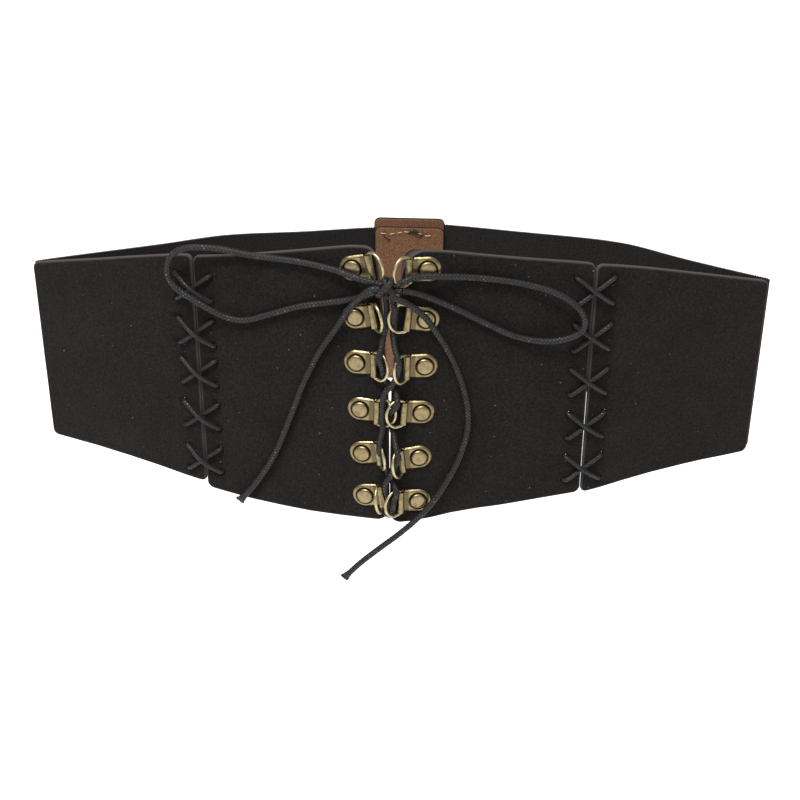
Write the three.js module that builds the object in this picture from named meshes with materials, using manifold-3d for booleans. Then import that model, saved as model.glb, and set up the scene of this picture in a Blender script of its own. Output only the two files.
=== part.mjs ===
// A wide corset-style waist belt, closed into its loop: four suede panels laced together in front,
// an elastic back in two halves, and a leather tab where the halves are pressed together.
// Millimetres, +Z up, the front towards -Y, +X to the right of whoever looks at the front.
// The origin is in the middle of the loop, at half the height of the elastic.

import * as THREE from "three";
import { mergeVertices } from "three/addons/utils/BufferGeometryUtils.js";
import Module from "manifold-3d";

const wasm = await Module();
wasm.setup();

// The gap left between two pieces that touch.
const gap = 0.3;

// The front is a shallow V in plan: a tight bend at the centre, then a gentle curve on each side.
// Lengths along it are measured on its outer face from the centre gap, negative to the left.
const front_centre_y = -56;
const wing_turn = THREE.MathUtils.degToRad(7.5);
const centre_bend = 5;
const wing_radius = 990;
const panel_thickness = 2.6;

// Outlines of the four panels, read from the centre to the side: a row for each place along the
// front, with the heights of the upper and lower edge there. lean_top and lean_bottom shift the
// centre edge of a front panel, because the gap is wider at the top than at the bottom.
const corner_radius = 4;
const panel_corner_angles = [0, 30, 60, 90];
const panel_columns = 5;
const front_panel = { from: 3, to: 88.5, lean_top: 1.2, lean_bottom: -1.2, punched_edge: "to" };
const outer_panel = { from: 88.9, to: 169.5, lean_top: 0, lean_bottom: 0, punched_edge: "from" };
const outlines = {
  front_left: [
    { along: 3, top: 66.6, bottom: -66.0 },
    { along: 40, top: 61.8, bottom: -64.6 },
    { along: 70, top: 57.0, bottom: -62.2 },
    { along: 88.5, top: 54.9, bottom: -59.4 },
  ],
  front_right: [
    { along: 3, top: 65.4, bottom: -67.0 },
    { along: 40, top: 61.8, bottom: -60.8 },
    { along: 70, top: 58.3, bottom: -57.4 },
    { along: 88.5, top: 56.4, bottom: -55.4 },
  ],
  outer_left: [
    { along: 88.9, top: 55.6, bottom: -57.2 },
    { along: 120, top: 51.2, bottom: -50.9 },
    { along: 145, top: 47.1, bottom: -46.9 },
    { along: 169.5, top: 43.2, bottom: -43.2 },
  ],
  outer_right: [
    { along: 88.9, top: 55.8, bottom: -56.0 },
    { along: 120, top: 51.6, bottom: -48.4 },
    { along: 145, top: 47.4, bottom: -44.0 },
    { along: 169.5, top: 43.6, bottom: -41.4 },
  ],
};

// Cross lacing over the seam between a front and an outer panel: each cross has four holes, and
// two laces go down the seam in turns, a diagonal in front and a short run behind.
const seam_along = 88.7;
const lacing = { half_width: 8.5, half_height: 6, hole_radius: 1.7, lace_radius: 1, tie_off: 4 };
const punch_sides = 6;
const cross_heights = [
  { left: 40.7, right: 43.7 },
  { left: 19.6, right: 22.3 },
  { left: 0.3, right: 1.1 },
  { left: -21.4, right: -20.5 },
  { left: -44.0, right: -42.0 },
];

// Hooks down both sides of the centre gap: a stamped plate, riveted on, whose end is rolled round
// the straight bar of a wire ring. tilt turns a plate in the panel's face, raising its ring end,
// and swing is how far its ring stands out from the panel.
const plate = { radius: 5.7, neck: 5.3, shoulder: 2.85, thickness: 0.9, reach: 8, hole_radius: 1.6 };
const plate_arc = { from: THREE.MathUtils.degToRad(75), to: THREE.MathUtils.degToRad(285) };
const barrel = { radius: 1.6, bore_radius: 1.1, half_height: 5.3, sides: 8 };
const ring = { bar_half: 5.7, shoulder: 2.7, bulge: 5.6, half_height: 6.5 };
const ring_wire = { radius: 0.65, sides: 6 };
const ring_bow_degrees = [75, 50, 25, 0, -25, -50, -75];
const rivet = { cap_radius: 3.65, cap_height: 0.85, cap_edge: 0.35, shank_radius: 1.2, sides: 10 };
const rivet_back = { radius: 3, height: 0.6 };
const hooks = [
  { side: "left", row: 1, along: 15.9, height: 55.7, tilt: 12, swing: 36 },
  { side: "left", row: 2, along: 14.9, height: 34.1, tilt: 10, swing: 50 },
  { side: "left", row: 3, along: 14.6, height: 12.9, tilt: 0, swing: 30 },
  { side: "left", row: 4, along: 13.1, height: -9.4, tilt: -2, swing: 0 },
  { side: "left", row: 5, along: 12.4, height: -31.1, tilt: 8, swing: 60 },
  { side: "left", row: 6, along: 11.2, height: -52.8, tilt: 8, swing: 95 },
  { side: "right", row: 1, along: 15.9, height: 56.1, tilt: 0, swing: 36 },
  { side: "right", row: 2, along: 15.5, height: 33.8, tilt: 6, swing: 6 },
  { side: "right", row: 3, along: 15.2, height: 12.1, tilt: 0, swing: 46 },
  { side: "right", row: 4, along: 14.1, height: -10.2, tilt: 3, swing: 20 },
  { side: "right", row: 5, along: 13.2, height: -32.4, tilt: -7, swing: 58 },
  { side: "right", row: 6, along: 12.9, height: -54.6, tilt: 0, swing: 30 },
];

// The elastic is sewn behind the side of an outer panel, folds round that side and runs to the tab.
// back is the distance behind the centre of the front, and the end next to the tab lies a little
// lower on the left and higher on the right, because the halves aren't pressed together level.
const elastic = { thickness: 1.5, half_height: 41, sewn_from: 150, sewn_to: 167.5 };
const elastic_end_rise = { left: -1.6, right: 0.9 };
const elastic_routes = {
  left: [
    { x: -165.9, back: 41.2 },
    { x: -166.8, back: 43.0 },
    { x: -165.0, back: 45.4 },
    { x: -150, back: 54.6 },
    { x: -116, back: 74.4 },
    { x: -98, back: 86.2 },
    { x: -89, back: 91.4 },
    { x: -76, back: 95.8 },
    { x: -52, back: 101.3 },
    { x: -17, back: 111.9 },
    { x: -6.4, back: 111.95 },
  ],
  right: [
    { x: 165.9, back: 41.2 },
    { x: 166.8, back: 43.0 },
    { x: 165.0, back: 45.4 },
    { x: 152, back: 54.6 },
    { x: 131, back: 70.2 },
    { x: 112, back: 86.4 },
    { x: 103, back: 91.8 },
    { x: 90, back: 96.4 },
    { x: 57, back: 103.8 },
    { x: 21.2, back: 111.9 },
    { x: 10.6, back: 111.95 },
  ],
};

// The closure: an inner and an outer leather tab with the elastic's ends between them, and the
// hidden press studs on one strip in the middle.
const tab = { x: 2.1, width: 35, thickness: 2, corner_radius: 3, corner_steps: 3 };
const inner_tab = { back: 108.9, half_height: 39.8 };
const outer_tab = { back: 113, half_height: 44.3 };
const stud_strip = { width: 11, back: 111.2, thickness: 1.5, half_height: 33 };

// Round waxed cord. The bow is loose, and the stretch in the centre gap is pulled a little thinner.
const cord_radius = 1.35;
const pulled_cord_radius = 1.15;
const cord_sides = 8;

// The lace in the centre gap, from the knot down through the rings and up again to the knot. It is
// threaded through a ring from in front, above, to behind, below.
// along, height: place on the front; out: distance in front of the panels' outer face.
const centre_lace = [
  { along: 1, height: 46.8, out: 5 },
  { along: 1.6, height: 43.8, out: 5.1 },
  { along: 2.1, height: 40.3, out: 5.9 },
  { along: 1.8, height: 35.2, out: 3 },
  { along: 1.2, height: 30.3, out: 0.5 },
  { along: 1.5, height: 26.6, out: 1.4 },
  { along: 2.8, height: 22.2, out: 5.1 },
  { along: 4.8, height: 17.6, out: 9 },
  { along: 3.4, height: 12.1, out: 6.5 },
  { along: 2, height: 6.5, out: 4.3 },
  { along: 0.5, height: 3.9, out: 4.2 },
  { along: -1.3, height: 1.4, out: 3.9 },
  { along: -2.3, height: -1.4, out: 4.1 },
  { along: -2.6, height: -5, out: 3.9 },
  { along: -2.7, height: -9.8, out: 3 },
  { along: -2.8, height: -13.4, out: 3.4 },
  { along: -2.6, height: -16.6, out: 4.2 },
  { along: -2.9, height: -19.6, out: 5.7 },
  { along: -4.7, height: -22.4, out: 9 },
  { along: -4.2, height: -26.5, out: 7.3 },
  { along: -2.4, height: -29.8, out: 5.2 },
  { along: -1, height: -36.3, out: 3 },
  { along: -0.4, height: -40.4, out: 1.7 },
  { along: 1.5, height: -43.8, out: 2.7 },
  { along: 2.9, height: -46.4, out: 5.1 },
  { along: 3.1, height: -48.5, out: 5.7 },
  { along: 2.3, height: -51.8, out: 4.3 },
  { along: 1.9, height: -55, out: 3.6 },
  { along: 1.7, height: -57.8, out: 2.9 },
  { along: 1.5, height: -59.4, out: 2.3 },
  { along: 1.1, height: -60.8, out: 1.7 },
  { along: 0.2, height: -61.6, out: 1.5 },
  { along: -0.9, height: -61.4, out: 1.5 },
  { along: -1.3, height: -60.4, out: 1.3 },
  { along: -0.7, height: -59.2, out: 0.8 },
  { along: -0.1, height: -57.6, out: 0.3 },
  { along: -0.1, height: -55.2, out: 0.8 },
  { along: -0.7, height: -51, out: 3.1 },
  { along: -1.3, height: -47.4, out: 3.8 },
  { along: -1.3, height: -44.4, out: 4.3 },
  { along: -0.5, height: -41.6, out: 5.1 },
  { along: 0.8, height: -39.2, out: 5.3 },
  { along: 2.4, height: -33.6, out: 6.5 },
  { along: 3.8, height: -29, out: 8.2 },
  { along: 3.2, height: -26, out: 7.4 },
  { along: 2.4, height: -22.8, out: 4.6 },
  { along: 1.7, height: -19.6, out: 2 },
  { along: 1.3, height: -17.2, out: 0.4 },
  { along: 1.2, height: -15.2, out: -0.1 },
  { along: 1.1, height: -13, out: 0 },
  { along: 0.9, height: -10.6, out: 1.2 },
  { along: 0.5, height: -8.9, out: 3.1 },
  { along: 1.8, height: -6.8, out: 5 },
  { along: 3.2, height: -3.8, out: 5.9 },
  { along: 3.1, height: -1.1, out: 4.5 },
  { along: 2.6, height: 0.8, out: 2.6 },
  { along: 1.4, height: 2.6, out: 1.6 },
  { along: -0.2, height: 4.3, out: 1.4 },
  { along: -1.6, height: 5.8, out: 1.8 },
  { along: -2.2, height: 7.6, out: 2.4 },
  { along: -2.6, height: 12.5, out: 4.2 },
  { along: -3.5, height: 18.3, out: 6.6 },
  { along: -2.8, height: 22.8, out: 4.9 },
  { along: -2.2, height: 27.3, out: 2.6 },
  { along: -1.6, height: 31.5, out: 0.9 },
  { along: -1.3, height: 35.5, out: 0.6 },
  { along: -1.2, height: 40.5, out: 0.9 },
  { along: -1.5, height: 44, out: 2.5 },
  { along: -1, height: 46.8, out: 4.4 },
];

// The bow: a knot, two loops and two tails, lying on the panels and over the rivets and the
// cross lacing. Columns as for the centre lace.
const knot = { along: -0.2, height: 50.2, out: 6.2, half_width: 3.5, half_height: 3.1, half_depth: 2.4 };
const bow = {
  bow_loop_left: [
    { along: -5.0, height: 51.9, out: 6.2 },
    { along: -9.2, height: 52.7, out: 6.0 },
    { along: -15.2, height: 53.6, out: 4.6 },
    { along: -22.8, height: 55.3, out: 3.0 },
    { along: -38.3, height: 57.3, out: 1.9 },
    { along: -60.7, height: 58.4, out: 1.9 },
    { along: -73.6, height: 60.4, out: 3.4 },
    { along: -80.8, height: 61.0, out: 5.0 },
    { along: -87.3, height: 60.5, out: 6.0 },
    { along: -93.3, height: 58.0, out: 6.4 },
    { along: -96.9, height: 52.7, out: 6.2 },
    { along: -97.3, height: 46.2, out: 6.0 },
    { along: -93.4, height: 41.1, out: 6.0 },
    { along: -86.8, height: 37.0, out: 5.6 },
    { along: -79.6, height: 32.8, out: 4.5 },
    { along: -73.4, height: 29.4, out: 2.8 },
    { along: -65.4, height: 28.1, out: 1.8 },
    { along: -55.2, height: 31.4, out: 1.8 },
    { along: -39.1, height: 37.2, out: 1.8 },
    { along: -25.6, height: 40.2, out: 1.8 },
    { along: -16.5, height: 42.6, out: 2.8 },
    { along: -9.2, height: 45.8, out: 4.6 },
    { along: -4.9, height: 48.3, out: 6.0 },
  ],
  bow_loop_right: [
    { along: 4.6, height: 52.3, out: 6.4 },
    { along: 8.0, height: 53.9, out: 6.0 },
    { along: 12.8, height: 54.4, out: 4.8 },
    { along: 20.7, height: 54.0, out: 3.8 },
    { along: 33.6, height: 52.7, out: 2.0 },
    { along: 46.5, height: 51.0, out: 1.8 },
    { along: 59.3, height: 48.5, out: 2.6 },
    { along: 69.9, height: 45.4, out: 4.6 },
    { along: 77.6, height: 40.8, out: 6.0 },
    { along: 82.2, height: 35.3, out: 6.4 },
    { along: 83.1, height: 30.1, out: 6.2 },
    { along: 80.4, height: 26.1, out: 5.6 },
    { along: 73.4, height: 23.3, out: 4.2 },
    { along: 64.9, height: 22.8, out: 2.8 },
    { along: 54.0, height: 25.2, out: 1.8 },
    { along: 43.0, height: 30.6, out: 1.8 },
    { along: 29.8, height: 37.7, out: 1.7 },
    { along: 19.8, height: 42.8, out: 2.6 },
    { along: 11.5, height: 46.8, out: 4.6 },
    { along: 4.9, height: 48.9, out: 6.2 },
  ],
  bow_tail_left: [
    { along: -3.9, height: 47.4, out: 8.9 },
    { along: -8.4, height: 46.2, out: 8.5 },
    { along: -12.4, height: 43.4, out: 6.9 },
    { along: -16.6, height: 38.6, out: 4.4 },
    { along: -23.5, height: 27.9, out: 2.4 },
    { along: -30.6, height: 17.1, out: 1.8 },
    { along: -37.8, height: 2.5, out: 1.8 },
    { along: -42.8, height: -10.3, out: 1.8 },
    { along: -48.0, height: -23.9, out: 1.8 },
    { along: -53.3, height: -36.3, out: 1.8 },
    { along: -60.1, height: -48.1, out: 1.8 },
    { along: -67.4, height: -58.2, out: 1.8 },
    { along: -71.7, height: -63.1, out: 1.8 },
  ],
  bow_tail_right: [
    { along: 1.6, height: 46.4, out: 8.0 },
    { along: 5.4, height: 44.4, out: 7.6 },
    { along: 9.8, height: 41.2, out: 6.4 },
    { along: 14.6, height: 36.3, out: 4.9 },
    { along: 20.0, height: 28.2, out: 3.4 },
    { along: 26.0, height: 17.4, out: 1.8 },
    { along: 30.6, height: 6.3, out: 1.8 },
    { along: 33.5, height: -3.9, out: 1.8 },
    { along: 34.7, height: -14.3, out: 1.8 },
    { along: 33.6, height: -24.2, out: 1.8 },
    { along: 30.7, height: -34.1, out: 1.8 },
    { along: 26.4, height: -43.2, out: 2.2 },
    { along: 20.6, height: -52.4, out: 3.4 },
    { along: 13.9, height: -61.0, out: 3.6 },
    { along: 4.8, height: -70.0, out: 3.4 },
    { along: -3.9, height: -78.7, out: 2.8 },
    { along: -13.3, height: -88.1, out: 3.0 },
    { along: -21.1, height: -97.2, out: 3.0 },
  ],
};

const suede = { color: 0x1b1718, roughness: 0.95, metalness: 0 };
const elastic_web = { color: 0x141315, roughness: 0.9, metalness: 0 };
const tab_leather = { color: 0x8a5a3c, roughness: 0.7, metalness: 0 };
const waxed_cord = { color: 0x2a2829, roughness: 0.6, metalness: 0 };
const flat_lace = { color: 0x232122, roughness: 0.8, metalness: 0 };
const antique_brass = { color: 0x8d7a4c, roughness: 0.35, metalness: 1 };
const stud_metal = { color: 0x6f6b62, roughness: 0.4, metalness: 1 };

const belt = new THREE.Group();

// Names a geometry as a piece of the belt and gives it its material.
function addPiece(name, geometry, finish) {
  const piece = new THREE.Mesh(geometry, new THREE.MeshStandardMaterial(finish));
  piece.name = name;
  belt.add(piece);
}

// A closed geometry as a solid that can be joined and cut.
function solidFrom(geometry) {
  const bare = geometry.clone();
  bare.deleteAttribute("normal");
  bare.deleteAttribute("uv");
  const merged = mergeVertices(bare, 1e-4);
  const vertProperties = new Float32Array(merged.attributes.position.array);
  const triVerts = new Uint32Array(merged.index.array);
  return new wasm.Manifold(new wasm.Mesh({ numProp: 3, vertProperties, triVerts }));
}

function geometryFrom(solid) {
  const mesh = solid.getMesh();
  const geometry = new THREE.BufferGeometry();
  geometry.setAttribute("position", new THREE.BufferAttribute(mesh.vertProperties, 3));
  geometry.setIndex(new THREE.BufferAttribute(mesh.triVerts, 1));
  geometry.computeVertexNormals();
  return geometry;
}

// Where a place along the front is in plan, and how far the front has turned back there.
function wingPlan(along) {
  const distance = Math.abs(along);
  const bend_radius = centre_bend / wing_turn;
  let turn = Math.min(distance, centre_bend) / bend_radius;
  let x = bend_radius * Math.sin(turn);
  let back = bend_radius * (1 - Math.cos(turn));
  if (distance > centre_bend) {
    turn = wing_turn + (distance - centre_bend) / wing_radius;
    x += wing_radius * (Math.sin(turn) - Math.sin(wing_turn));
    back += wing_radius * (Math.cos(wing_turn) - Math.cos(turn));
  }
  const side = Math.sign(along);
  return { x: side * x, y: front_centre_y + back, turn: side * turn };
}

// A point on the front: along it, up it, and out from its outer face.
function frontPoint({ along, height, out }) {
  const plan = wingPlan(along);
  const x = plan.x + out * Math.sin(plan.turn);
  const y = plan.y - out * Math.cos(plan.turn);
  return new THREE.Vector3(x, y, height);
}

// The directions at a place on the front: right along it, up, and out from it.
function frontFrame(along, height) {
  const { turn } = wingPlan(along);
  const right = new THREE.Vector3(Math.cos(turn), Math.sin(turn), 0);
  const up = new THREE.Vector3(0, 0, 1);
  const out = new THREE.Vector3().crossVectors(right, up);
  const frame = new THREE.Matrix4().makeBasis(right, up, out);
  return frame.setPosition(frontPoint({ along, height, out: 0 }));
}

// A closed body through rings of corners, capped at both ends, or joined end to end when closed.
// Each ring runs clockwise as seen looking back along the row of rings.
function loft(rings, closed = false) {
  const corners = rings[0].length;
  const positions = rings.flat().flatMap((point) => point.toArray());
  const index = [];
  const bands = closed ? rings.length : rings.length - 1;
  for (let i = 0; i < bands; i++) {
    const here = i * corners;
    const next = ((i + 1) % rings.length) * corners;
    for (let k = 0; k < corners; k++) {
      const after = (k + 1) % corners;
      index.push(here + k, next + k, next + after);
      index.push(here + k, next + after, here + after);
    }
  }
  const last = (rings.length - 1) * corners;
  for (let k = 1; k < corners - 1 && !closed; k++) {
    index.push(0, k, k + 1);
    index.push(last, last + k + 1, last + k);
  }
  const geometry = new THREE.BufferGeometry();
  geometry.setAttribute("position", new THREE.Float32BufferAttribute(positions, 3));
  geometry.setIndex(index);
  geometry.computeVertexNormals();
  return geometry;
}

// Reads a column of a table at a place between its rows.
function readTable(rows, key, place, column) {
  const last = rows.length - 2;
  const found = rows.findIndex((row, i) => i < last && place <= rows[i + 1][key]);
  const i = found < 0 ? last : found;
  const share = (place - rows[i][key]) / (rows[i + 1][key] - rows[i][key]);
  return THREE.MathUtils.lerp(rows[i][column], rows[i + 1][column], share);
}

// A straight pin square to the front, for punching a hole through a panel.
function punch(along, height, radius) {
  const pin = new THREE.CylinderGeometry(radius, radius, panel_thickness * 3, punch_sides);
  pin.rotateX(Math.PI / 2);
  pin.translate(0, 0, -panel_thickness / 2);
  return solidFrom(pin.applyMatrix4(frontFrame(along, height)));
}

// The four holes of each cross on one side, as places on the front.
function crossHoles(side) {
  const seam = side === "left" ? -seam_along : seam_along;
  return cross_heights.map((row) => ({
    seam,
    middle: row[side],
    low: seam - lacing.half_width,
    high: seam + lacing.half_width,
    top: row[side] + lacing.half_height,
    bottom: row[side] - lacing.half_height,
  }));
}

// A panel: a wall with rounded corners, lofted along the front, then punched.
function panelGeometry(side, span, outline) {
  const sign = side === "left" ? -1 : 1;
  const columns = [];
  for (const angle of panel_corner_angles) {
    const turned = THREE.MathUtils.degToRad(angle);
    const inset = corner_radius * (1 - Math.cos(turned));
    const drop = corner_radius * (1 - Math.sin(turned));
    columns.push({ along: span.from + inset, drop });
    columns.push({ along: span.to - inset, drop });
  }
  for (let i = 1; i < panel_columns; i++) {
    const along = THREE.MathUtils.lerp(span.from, span.to, i / panel_columns);
    columns.push({ along, drop: 0 });
  }
  columns.sort((a, b) => sign * (a.along - b.along));
  const rings = columns.map(({ along, drop }) => {
    const lean = (span.to - along) / (span.to - span.from);
    const top = readTable(outline, "along", along, "top") - drop;
    const bottom = readTable(outline, "along", along, "bottom") + drop;
    const upper = sign * (along + lean * span.lean_top);
    const lower = sign * (along + lean * span.lean_bottom);
    return [
      frontPoint({ along: lower, height: bottom, out: 0 }),
      frontPoint({ along: upper, height: top, out: 0 }),
      frontPoint({ along: upper, height: top, out: -panel_thickness }),
      frontPoint({ along: lower, height: bottom, out: -panel_thickness }),
    ];
  });
  let solid = solidFrom(loft(rings));
  const outer_column = span.punched_edge === "from" ? 1 : -1;
  for (const { seam, top, bottom } of crossHoles(side)) {
    const along = seam + sign * outer_column * lacing.half_width;
    solid = solid.subtract(punch(along, top, lacing.hole_radius));
    solid = solid.subtract(punch(along, bottom, lacing.hole_radius));
  }
  if (span === front_panel) {
    for (const hook of hooks.filter((row) => row.side === side)) {
      solid = solid.subtract(punch(sign * hook.along, hook.height, plate.hole_radius));
    }
  }
  return geometryFrom(solid);
}

// The cord's path goes straight through every listed point, in equal steps from point to point.
class ListedPath extends THREE.CatmullRomCurve3 {
  getPointAt(share, target) {
    return this.getPoint(share, target);
  }
  getTangentAt(share, target) {
    return this.getTangent(share, target);
  }
}

function cordGeometry(points, radius, sides) {
  const section = new THREE.Shape();
  for (let i = 0; i < sides; i++) {
    const angle = (2 * Math.PI * i) / sides;
    const x = radius * Math.cos(angle);
    const y = radius * Math.sin(angle);
    if (i === 0) section.moveTo(x, y);
    else section.lineTo(x, y);
  }
  section.closePath();
  const extrudePath = new ListedPath(points, false, "centripetal");
  return new THREE.ExtrudeGeometry(section, { extrudePath, steps: points.length - 1 });
}

// One of the two laces down a seam. first is the slope of its first cross: falling to the right, or
// to the left. A diagonal that falls to the right lies over the other one.
function crossLacePoints(side, first) {
  const front = lacing.lace_radius + gap;
  const over = front + 2 * lacing.lace_radius + gap;
  const behind = -panel_thickness - lacing.lace_radius - gap;
  const mouth = 0.25;
  const step = 1.7;
  const places = [];
  let falls_right = first === "falls_right";
  for (const cross of crossHoles(side)) {
    const from = falls_right ? cross.low : cross.high;
    const to = falls_right ? cross.high : cross.low;
    const ahead = falls_right ? step : -step;
    if (!places.length) {
      places.push({ along: from, height: cross.top + lacing.tie_off, out: behind });
    }
    places.push({ along: from, height: cross.top, out: behind });
    places.push({ along: from + ahead / 8, height: cross.top, out: mouth });
    places.push({ along: from + ahead, height: cross.top - step / 2, out: front });
    places.push({ along: cross.seam, height: cross.middle, out: falls_right ? over : front });
    places.push({ along: to - ahead, height: cross.bottom + step / 2, out: front });
    places.push({ along: to - ahead / 8, height: cross.bottom, out: mouth });
    places.push({ along: to, height: cross.bottom, out: behind });
    falls_right = !falls_right;
  }
  const end = places[places.length - 1];
  places.push({ ...end, height: end.height - lacing.tie_off });
  return places.map(frontPoint);
}

// The frame of a hook at its rivet: right along its plate towards the ring, up, and out.
function hookFrame({ side, along, height, tilt }) {
  const left = side === "left";
  const frame = frontFrame(left ? -along : along, height);
  const turn = left ? tilt : 180 - tilt;
  return frame.multiply(new THREE.Matrix4().makeRotationZ(THREE.MathUtils.degToRad(turn)));
}

// The stamped plate with its rolled end. It is turned over on the right, so it is the same shape.
function plateGeometry(hook) {
  const outline = new THREE.Shape();
  outline.moveTo(plate.reach, -plate.neck);
  outline.lineTo(plate.reach, plate.neck);
  outline.lineTo(plate.shoulder, plate.neck);
  outline.absarc(0, 0, plate.radius, plate_arc.from, plate_arc.to, false);
  outline.lineTo(plate.shoulder, -plate.neck);
  const settings = { depth: plate.thickness, bevelEnabled: false, curveSegments: 9 };
  const sheet = new THREE.ExtrudeGeometry(outline, settings);
  sheet.translate(0, 0, gap);
  const axle_out = gap + barrel.radius;
  const cylinder = (radius, height, sides) => {
    const round = new THREE.CylinderGeometry(radius, radius, height, sides);
    return solidFrom(round.translate(plate.reach, 0, axle_out));
  };
  const height = 2 * barrel.half_height;
  const rolled = cylinder(barrel.radius, height, barrel.sides);
  const bore = cylinder(barrel.bore_radius, height + 2, barrel.sides);
  const hole = new THREE.CylinderGeometry(plate.hole_radius, plate.hole_radius, 4, 8);
  hole.rotateX(Math.PI / 2);
  const solid = solidFrom(sheet).add(rolled).subtract(bore).subtract(solidFrom(hole));
  return geometryFrom(solid).applyMatrix4(hookFrame(hook));
}

// The frame of a ring: right from its bar across the ring, up or down along the bar, and out.
function ringFrame(hook) {
  const swing = new THREE.Matrix4().makeRotationY(-THREE.MathUtils.degToRad(hook.swing));
  const axle = new THREE.Matrix4().makeTranslation(plate.reach, 0, gap + barrel.radius);
  return hookFrame(hook).multiply(axle).multiply(swing);
}

// The wire ring, a D: a straight bar in the rolled end of the plate, and a bow round it.
function ringGeometry(hook) {
  const centres = [{ u: 0, v: -ring.bar_half }, { u: 0, v: ring.bar_half }];
  for (const degrees of ring_bow_degrees) {
    const angle = THREE.MathUtils.degToRad(degrees);
    const u = ring.shoulder + ring.bulge * Math.cos(angle);
    centres.push({ u, v: ring.half_height * Math.sin(angle) });
  }
  const rings = centres.map((centre, i) => {
    const before = centres[(i + centres.length - 1) % centres.length];
    const after = centres[(i + 1) % centres.length];
    const along = new THREE.Vector2(after.u - before.u, after.v - before.v).normalize();
    const section = [];
    for (let k = 0; k < ring_wire.sides; k++) {
      const angle = (2 * Math.PI * k) / ring_wire.sides;
      const aside = ring_wire.radius * Math.cos(angle);
      const out = ring_wire.radius * Math.sin(angle);
      section.push(new THREE.Vector3(centre.u + along.y * aside, centre.v - along.x * aside, out));
    }
    return section;
  });
  return loft(rings, true).applyMatrix4(ringFrame(hook));
}

// The rivet through plate and panel, with a flat cap in front and a washer behind.
function rivetGeometry(hook) {
  const cap_back = gap + plate.thickness + gap;
  const cap_front = cap_back + rivet.cap_height;
  const washer_front = -panel_thickness - gap;
  const washer_back = washer_front - rivet_back.height;
  const profile = [
    new THREE.Vector2(0, washer_back),
    new THREE.Vector2(rivet_back.radius, washer_back),
    new THREE.Vector2(rivet_back.radius, washer_front),
    new THREE.Vector2(rivet.shank_radius, washer_front),
    new THREE.Vector2(rivet.shank_radius, cap_back),
    new THREE.Vector2(rivet.cap_radius, cap_back),
    new THREE.Vector2(rivet.cap_radius, cap_front - rivet.cap_edge),
    new THREE.Vector2(rivet.cap_radius - rivet.cap_edge, cap_front),
    new THREE.Vector2(0, cap_front),
  ];
  const turned = new THREE.LatheGeometry(profile, rivet.sides);
  turned.rotateX(Math.PI / 2);
  return turned.applyMatrix4(hookFrame(hook));
}

// One half of the elastic back, from behind the outer panel round the side to the tab.
function elasticGeometry(side) {
  const sign = side === "left" ? -1 : 1;
  const behind = -panel_thickness - gap - elastic.thickness / 2;
  const sewn = [elastic.sewn_from, elastic.sewn_to].map((along) => {
    const place = frontPoint({ along: sign * along, height: 0, out: behind });
    return { x: place.x, back: place.y - front_centre_y };
  });
  const route = [...sewn, ...elastic_routes[side]];
  const middle = route.map(({ x, back }) => new THREE.Vector2(x, front_centre_y + back));
  const rings = middle.map((point, i) => {
    const before = middle[Math.max(i - 1, 0)];
    const after = middle[Math.min(i + 1, middle.length - 1)];
    const ahead = after.clone().sub(before).normalize();
    const aside = new THREE.Vector2(ahead.y, -ahead.x).multiplyScalar(elastic.thickness / 2);
    const rise = (elastic_end_rise[side] * i) / (middle.length - 1);
    const corner = (way, height) => {
      return new THREE.Vector3(point.x + way * aside.x, point.y + way * aside.y, height + rise);
    };
    return [
      corner(1, -elastic.half_height),
      corner(1, elastic.half_height),
      corner(-1, elastic.half_height),
      corner(-1, -elastic.half_height),
    ];
  });
  return loft(rings);
}

// A flat upright piece at the back, its outline a rectangle with round corners.
function backPlate(width, half_height, back, thickness, radius) {
  const outline = new THREE.Shape();
  const half = width / 2;
  const x = half - radius;
  const z = half_height - radius;
  outline.absarc(x, z, radius, 0, Math.PI / 2, false);
  outline.absarc(-x, z, radius, Math.PI / 2, Math.PI, false);
  outline.absarc(-x, -z, radius, Math.PI, Math.PI * 1.5, false);
  outline.absarc(x, -z, radius, Math.PI * 1.5, Math.PI * 2, false);
  const settings = { depth: thickness, bevelEnabled: false, curveSegments: tab.corner_steps };
  const sheet = new THREE.ExtrudeGeometry(outline, settings);
  sheet.rotateX(Math.PI / 2);
  return sheet.translate(tab.x, front_centre_y + back + thickness, 0);
}

for (const side of ["left", "right"]) {
  const front_outline = outlines[`front_${side}`];
  const outer_outline = outlines[`outer_${side}`];
  addPiece(`panel_front_${side}`, panelGeometry(side, front_panel, front_outline), suede);
  addPiece(`panel_outer_${side}`, panelGeometry(side, outer_panel, outer_outline), suede);
  addPiece(`elastic_${side}`, elasticGeometry(side), elastic_web);
  for (const first of ["falls_right", "falls_left"]) {
    const points = crossLacePoints(side, first);
    const lace = cordGeometry(points, lacing.lace_radius, 6);
    addPiece(`cross_lace_${side}_${first}`, lace, flat_lace);
  }
}

for (const hook of hooks) {
  const name = `${hook.side}_${hook.row}`;
  addPiece(`hook_plate_${name}`, plateGeometry(hook), antique_brass);
  addPiece(`ring_${name}`, ringGeometry(hook), antique_brass);
  addPiece(`rivet_${name}`, rivetGeometry(hook), antique_brass);
}

for (const [name, { back, half_height }] of Object.entries({ tab_inner: inner_tab, tab_outer: outer_tab })) {
  const leather = backPlate(tab.width, half_height, back, tab.thickness, tab.corner_radius);
  addPiece(name, leather, tab_leather);
}
const strip = backPlate(stud_strip.width, stud_strip.half_height, stud_strip.back, stud_strip.thickness, 2);
addPiece("press_stud_strip", strip, stud_metal);

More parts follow.
